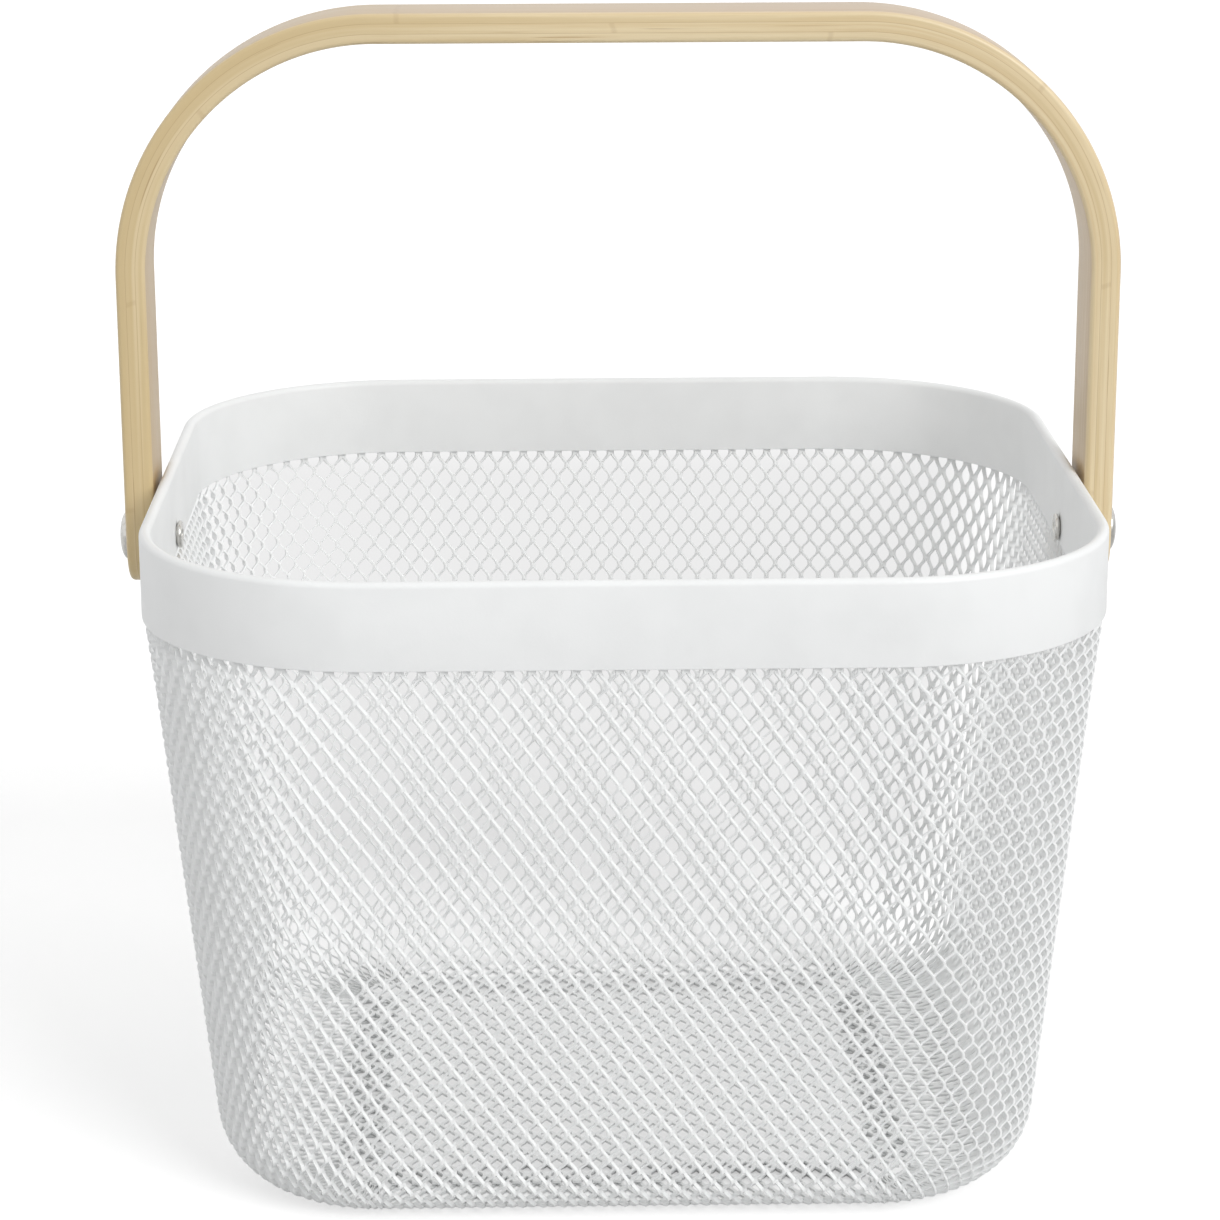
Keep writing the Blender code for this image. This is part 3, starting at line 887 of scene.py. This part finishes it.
@dataclass
class RimBand:
    """The sheet steel band folded over the top edge of the wall."""

    width: float = 250.0 * MM
    depth: float = 242.0 * MM
    top: float = 180.0 * MM
    band_height: float = 22.5 * MM
    corner_radius: float = 60.5 * MM
    thickness: float = 3.1 * MM
    sheet: float = 0.5 * MM
    corner_steps: int = 40
    crown_steps: int = 20
    lip_steps: int = 6
    rivet_height: float = 162.0 * MM
    rivet_hole_radius: float = 2.8 * MM
    finish: PowderCoat = field(default_factory=PowderCoat)

    def _profile(self) -> np.ndarray:
        """Return the band's section as rows of (depth inwards, height).

        Up the outside, over the crown as a half circle, down the inside, round the
        lip as a half circle of the sheet's thickness, and back through the slot.
        """
        half = self.thickness / 2
        crown_z = self.top - half
        lip = self.sheet / 2
        bottom = self.top - self.band_height + lip
        turn = np.linspace(0, math.pi, self.crown_steps + 1)
        crown = arc((half, crown_z), (-half, half), turn)
        inner = half - self.sheet
        slot = arc((half, crown_z), (inner, inner), turn)
        turn = np.linspace(0, math.pi, self.lip_steps + 1)
        lip_in = arc((self.thickness - lip, bottom), (lip, -lip), turn)
        lip_out = arc((lip, bottom), (lip, -lip), turn)
        return np.concatenate([crown, lip_in, slot, lip_out])

    def build(self) -> None:
        """Build the band, round its corners and through the rivets' holes."""
        profile = self._profile()
        quarter = np.repeat(np.arange(4), self.corner_steps + 1)
        share = np.tile(np.linspace(0, 1, self.corner_steps + 1), 4)
        angle = math.pi / 2 * (quarter + share)
        centre_x = self.width / 2 - self.corner_radius
        centre_y = self.depth / 2 - self.corner_radius
        x = np.where(np.isin(quarter, (0, 3)), centre_x, -centre_x)[:, None]
        y = np.where(np.isin(quarter, (0, 1)), centre_y, -centre_y)[:, None]
        radius = self.corner_radius - profile[:, 0]
        points = beside(
            x + radius * np.cos(angle)[:, None],
            y + radius * np.sin(angle)[:, None],
            np.broadcast_to(profile[:, 1], (len(angle), len(profile))),
        ).reshape(-1, 3)
        here = np.arange(len(points)).reshape(len(angle), len(profile))
        after = np.roll(here, -1, axis=0)
        quads = beside(here, np.roll(here, -1, axis=1), np.roll(after, -1, axis=1), after)
        quads = quads.reshape(-1, 4)
        finish = self.finish.material("rim_coat")
        piece = make_piece("rim_fold", points, outward(points, [quads]), finish)
        bore(piece, self.rivet_hole_radius, self.rivet_height, self.width)
        hand_over(piece, "basket", "rim_band")


@dataclass
class BambooBow:
    """The handle: a strip with round ends, bent into a bow.

    Flat places on the strip are (along, across, depth), with along counted from the
    middle of the top and depth outwards from the middle of the strip.
    """

    top: float = 305.0 * MM
    width: float = 25.0 * MM
    thickness: float = 8.0 * MM
    bend_radius: float = 70.0 * MM
    edge_round: float = 1.3 * MM
    leg_outer_x: float = 134.5 * MM
    pivot_height: float = 162.0 * MM
    hole_radius: float = 2.8 * MM
    bend_steps: int = 64
    end_steps: int = 40
    edge_steps: int = 5
    finish: LacqueredBamboo = field(default_factory=LacqueredBamboo)

    def __post_init__(self) -> None:
        """Work out where the bow's bends lie."""
        self.mid_radius = self.bend_radius - self.thickness / 2
        self.bend_x = self.leg_outer_x - self.bend_radius
        self.bend_z = self.top - self.bend_radius
        self.leg_start = self.bend_x + self.mid_radius * math.pi / 2
        self.pivot_along = self.leg_start + self.bend_z - self.pivot_height

    def _outline(self, radius: np.ndarray) -> np.ndarray:
        """Return the strip's outline at each inset radius, as (along, across).

        Two long edges at across = +-radius, and two half circles about the pivots.

        Args:
            radius: The half width of each outline.

        Returns:
            An array over outlines, outline points and the two coordinates.
        """
        bend = np.linspace(self.bend_x, self.leg_start, self.bend_steps + 1)
        stops = np.concatenate([-bend[::-1], bend])
        edge = np.concatenate([[-self.pivot_along], stops, [self.pivot_along]])
        turn = np.linspace(0, math.pi, self.end_steps + 1)[1:-1]
        r = radius[:, None]
        level = np.ones_like(r)
        along = np.concatenate([
            level * edge,
            self.pivot_along + r * np.sin(turn),
            level * edge[::-1],
            -self.pivot_along - r * np.sin(turn),
        ], axis=1)
        across = np.concatenate([
            r * np.ones_like(edge), r * np.cos(turn), -r * np.ones_like(edge), -r * np.cos(turn)
        ], axis=1)
        self.edge_count = len(edge)
        return beside(along, across)

    def bend(self, flat: np.ndarray) -> np.ndarray:
        """Bend flat places into the bow: straight, round the bend, and down the leg.

        Args:
            flat: Rows of (along, across, depth).

        Returns:
            Rows of world places.
        """
        along, across, depth = flat.T
        run = np.abs(along)
        turn = math.pi / 2 - (run - self.bend_x) / self.mid_radius
        radius = self.mid_radius + depth
        on_top = run <= self.bend_x
        on_leg = run >= self.leg_start
        x = np.where(on_top, run, self.bend_x + radius * np.cos(turn))
        x = np.where(on_leg, self.bend_x + radius, x)
        z = np.where(on_top, self.bend_z + radius, self.bend_z + radius * np.sin(turn))
        z = np.where(on_leg, self.bend_z - (run - self.leg_start), z)
        return beside(np.sign(along) * x, across, z)

    def unbend(self, points: np.ndarray) -> np.ndarray:
        """Return the flat places (along, across, depth) of world places on the bow."""
        x, across, z = points.T
        run = np.abs(x)
        past_x, past_z = run - self.bend_x, z - self.bend_z
        radius = np.hypot(past_x, past_z)
        turn = np.arctan2(past_z, past_x)
        on_top = past_x <= 0
        on_leg = past_z <= 0
        along = np.where(on_top, run, self.bend_x + self.mid_radius * (math.pi / 2 - turn))
        along = np.where(on_leg, self.leg_start - past_z, along)
        depth = np.where(on_top, past_z, np.where(on_leg, past_x, radius)) - self.mid_radius
        return beside(np.sign(x) * along, across, depth)

    def build(self) -> None:
        """Build the bow, bore it for the rivets and note each point's flat place."""
        turn = np.linspace(0, math.pi / 2, self.edge_steps + 1)
        inset = self.edge_round * (1 - np.sin(turn))
        depth = self.thickness / 2 - self.edge_round * (1 - np.cos(turn))
        inset = np.concatenate([inset, inset[::-1]])
        depth = np.concatenate([depth, -depth[::-1]])
        outline = self._outline(self.width / 2 - inset)
        levels, count = outline.shape[:2]
        deep = np.broadcast_to(depth[:, None, None], (levels, count, 1))
        points = self.bend(np.concatenate([outline, deep], axis=-1).reshape(-1, 3))
        here = np.arange(levels * count).reshape(levels, count)
        edge, end = self.edge_count, self.end_steps - 1
        faces = [ladder(here)]
        for level, turned in ((0, 1), (levels - 1, -1)):
            ring = here[level]
            near, far = ring[:edge], ring[edge + end:2 * edge + end][::-1]
            strip = beside(near[:-1], far[:-1], far[1:], near[1:])
            last_cap = np.concatenate([ring[2 * edge + end - 1:], ring[:1]])
            caps = np.stack([ring[edge - 1:edge + end + 1], last_cap])
            faces += [strip[:, ::turned], caps[:, ::turned]]
        finish = self.finish.material("bow_bamboo")
        piece = make_piece("bow", points, outward(points, faces), finish)
        bore(piece, self.hole_radius, self.pivot_height, 2 * self.leg_outer_x)
        self._note_places(piece)
        hand_over(piece, "handle", "handle_bow")

    def _note_places(self, piece: bpy.types.Object) -> None:
        """Store every point's flat place in the attribute that the finish reads."""
        mesh = piece.data
        places = np.empty(len(mesh.vertices) * 3, np.float32)
        mesh.vertices.foreach_get("co", places)
        flat = self.unbend(places.reshape(-1, 3).astype(float))
        noted = mesh.attributes.new(self.finish.place_name, "FLOAT_VECTOR", "POINT")
        noted.data.foreach_set("vector", flat.astype(np.float32).ravel())


@dataclass
class Rivet:
    """A semi tubular rivet: domed head outside the handle, rolled tail inside the rim."""

    side: Side
    height: float = 162.0 * MM
    head_x: float = 134.8 * MM
    head_radius: float = 6.8 * MM
    head_height: float = 2.5 * MM
    head_edge: float = 0.5 * MM
    shank_radius: float = 2.5 * MM
    tail_x: float = 121.6 * MM
    tail_radius: float = 3.8 * MM
    tail_height: float = 1.3 * MM
    bore_radius: float = 1.3 * MM
    bore_depth: float = 4.0 * MM
    lip_share: float = 0.8
    turns: int = 72
    dome_points: int = 20
    brim_points: int = 9
    roll_points: int = 15
    lip_points: int = 9
    finish: Nickel = field(default_factory=Nickel)

    def _profile(self) -> np.ndarray:
        """Return rows of (x, radius) from the dome's top to the bore's end.

        The dome is a quarter ellipse, its edge a half circle, and the tail a half
        circle outside that turns over a flat ring into the bore by a quarter circle.
        """
        rise = self.head_height - self.head_edge
        edge = self.head_edge / 2
        crown_radius = self.head_radius - edge
        turn = np.linspace(0, math.pi / 2, self.dome_points)
        dome = arc((self.head_x + self.head_edge, 0.0), (rise, crown_radius), turn)
        turn = np.linspace(0, math.pi, self.brim_points)[1:]
        brim = arc((self.head_x + edge, crown_radius), (edge, edge), turn)
        roll = self.tail_height / 2
        turn = np.linspace(0, math.pi, self.roll_points)
        tail = arc((self.tail_x - roll, self.tail_radius - roll), (roll, roll), turn)
        lip = self.lip_share * roll
        turn = np.linspace(math.pi, 1.5 * math.pi, self.lip_points)
        mouth_x = self.tail_x - self.tail_height + lip
        mouth = arc((mouth_x, self.bore_radius + lip), (lip, lip), turn)
        shank = [(self.head_x, self.shank_radius), (self.tail_x, self.shank_radius)]
        bore_x = self.tail_x - self.tail_height + self.bore_depth
        bore_end = [(bore_x, self.bore_radius), (bore_x, 0.0)]
        return np.concatenate([dome, brim, shank, tail, mouth, bore_end])

    def build(self) -> None:
        """Turn the rivet at its side."""
        points, faces = lathe(self._profile(), self.turns, self.side, self.height)
        name = "rivet_" + self.side.name.lower()
        finish = self.finish.material(name + "_nickel")
        piece = make_piece(name + "_turned", points, faces, finish)
        hand_over(piece, "basket", name)


def hand_over(piece: bpy.types.Object, body: str, node: str) -> None:
    """Let a piece ride on its body in place of a CAD node, and report it.

    Args:
        piece: The finished piece.
        body: The body that it moves with.
        node: The CAD node that it stands for.
    """
    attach(piece, body)
    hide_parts(node)
    LOG.info("%s: %d faces, for %s", piece.name, len(piece.data.polygons), node)


# Studio


@dataclass
class Studio:
    """White surroundings, a pale floor, one wide soft lamp and the camera.

    Only the camera sees the floor's glow, and its painted shadow: a slightly darker patch of floor
    colour behind the object, which fans out from a tip in front of it and fades on every side.
    """

    camera_place: tuple[float, float, float] = (-0.02146, -0.95178, 0.40342)
    camera_right: tuple[float, float, float] = (0.99978, -0.02069, -0.00317)
    camera_up: tuple[float, float, float] = (0.00871, 0.27382, 0.96174)
    focal_pixels: float = 3554.7
    centre_drop_pixels: float = 24.14
    clip_start: float = 0.05
    floor_size: float = 30.0
    floor_drop: float = 0.2 * MM
    floor_roughness: float = 0.9
    floor_colour: float = 0.74
    floor_seen_colour: float = 0.62
    floor_glow: float = 0.46
    # Painted shadow: the darker floor colour that the camera sees in a patch behind the object
    painted_shadow_colour: float = 0.36
    painted_shadow_tip: float = -550.0 * MM
    painted_shadow_front: tuple[float, float] = (80.0 * MM, 220.0 * MM)
    painted_shadow_back: tuple[float, float] = (990.0 * MM, 740.0 * MM)
    painted_shadow_spread_share: tuple[float, float] = (0.172, 0.130)
    ambient: float = 0.725
    key_turn: float = 41.0
    key_rise: float = 30.0
    key_spread: float = 34.0
    key_power: float = 1.44

    def build(self) -> None:
        """Set up everything round the object."""
        self._camera()
        self._world()
        self._floor()
        self._lamp("key", self.key_turn, self.key_rise, self.key_spread, self.key_power)
        bpy.context.scene.view_settings.view_transform = "Standard"

    def _camera(self) -> None:
        """Place the camera as fitted to the photograph's outlines."""
        data = bpy.data.cameras.new("camera")
        data.sensor_width = SENSOR_WIDTH
        data.lens = self.focal_pixels / PHOTO_PIXELS * SENSOR_WIDTH
        data.shift_y = self.centre_drop_pixels / PHOTO_PIXELS
        data.clip_start = self.clip_start
        made = bpy.data.objects.new("camera", data)
        back = np.cross(self.camera_right, self.camera_up)
        made.matrix_world = pose_from(self.camera_place, self.camera_right, back)
        bpy.context.scene.collection.objects.link(made)
        bpy.context.scene.camera = made

    def _world(self) -> None:
        """Light the scene softly all round, from surroundings that are seen as white."""
        world = bpy.data.worlds.new("studio")
        bpy.context.scene.world = world
        bench = NodeBench(world)
        path = bench.node("ShaderNodeLightPath").outputs
        kinds = ("Is Camera Ray", "Is Glossy Ray", "Is Transmission Ray")
        camera, glossy, through = (Value(bench, path[kind]) for kind in kinds)
        seen = (camera + glossy + through).at_most(1.0)
        strength = self.ambient + (1.0 - self.ambient) * seen
        inputs = {"Color": grey(1.0), "Strength": strength}
        light = bench.node("ShaderNodeBackground", {}, inputs)
        bench.node("ShaderNodeOutputWorld", {}, {"Surface": light.outputs[0]})

    def _floor(self) -> None:
        """Lay the floor, which the camera sees as white but for its shadow and its painted shadow.

        The painted shadow's strength falls with |x| / (y - tip), and near its front and its back.
        """
        half = self.floor_size / 2
        corners = np.array([(-half, -half, 0), (half, -half, 0), (half, half, 0), (-half, half, 0)])
        material = bpy.data.materials.new("floor_paint")
        bench = NodeBench(material)
        seen = Value(bench, bench.node("ShaderNodeLightPath").outputs["Is Camera Ray"])
        x, y, _ = bench.split(bench.place())
        # Painted shadow: the floor colour is darker in a fan behind the object
        spread = x.magnitude() / (y - self.painted_shadow_tip)
        painted_shadow = spread.ramp(*self.painted_shadow_spread_share)
        painted_shadow = painted_shadow * y.ramp(*self.painted_shadow_front) * y.ramp(*self.painted_shadow_back)
        pale = bench.mix(painted_shadow, grey(self.floor_seen_colour), grey(self.painted_shadow_colour))
        colour = bench.mix(seen, grey(self.floor_colour), pale)
        inputs = {"Color": colour, "Roughness": self.floor_roughness}
        paint = bench.node("ShaderNodeBsdfDiffuse", {}, inputs)
        inputs = {"Color": grey(1.0), "Strength": seen * self.floor_glow}
        glow = bench.node("ShaderNodeEmission", {}, inputs)
        both = bench.node("ShaderNodeAddShader", {}, {0: paint.outputs[0], 1: glow.outputs[0]})
        bench.node("ShaderNodeOutputMaterial", {}, {"Surface": both.outputs[0]})
        floor = make_piece("studio_floor", corners, [np.array([[0, 1, 2, 3]])], material)
        floor.location.z = -self.floor_drop

    def _lamp(self, name: str, turn: float, rise: float, spread: float, power: float) -> None:
        """Hang a far soft lamp.

        Args:
            name: The lamp's name.
            turn: Degrees round from the front towards the right.
            rise: Degrees above level.
            spread: How wide the lamp looks in degrees, which softens its shadows.
            power: Watts per square metre.
        """
        data = bpy.data.lights.new(name, "SUN")
        data.angle = math.radians(spread)
        data.energy = power
        made = bpy.data.objects.new(name, data)
        turn, rise = math.radians(turn), math.radians(rise)
        level = math.cos(rise)
        back = (level * math.sin(turn), -level * math.cos(turn), math.sin(rise))
        made.matrix_world = pose_from(back, np.cross((0.0, 0.0, 1.0), back), back)
        bpy.context.scene.collection.objects.link(made)


def grey(level: float) -> Colour:
    """Return an opaque grey colour."""
    return (level, level, level, 1.0)


def pose_from(place: Sequence[float], right: Sequence[float], back: Sequence[float]) -> Matrix:
    """Return the pose of an object that looks away from its back.

    Args:
        place: Where it stands.
        right: Its own X direction, of any length.
        back: Its own Z direction, of any length, square to right.

    Returns:
        The pose.
    """
    right = np.array(right) / np.linalg.norm(right)
    back = np.array(back) / np.linalg.norm(back)
    pose = np.eye(4)
    pose[:3] = np.stack([right, np.cross(back, right), back, place], axis=-1)
    return Matrix(pose.tolist())


def main() -> None:
    """Build the basket's sub-assemblies in order, then the studio."""
    logging.basicConfig(level=logging.INFO, format="%(name)s %(message)s")
    wall = MeshWall()
    wall.build()
    MeshFloor(wall).build()
    RimBand().build()
    BambooBow().build()
    for side in Side:
        Rivet(side).build()
    Studio().build()


if __name__ == "__main__":
    main()
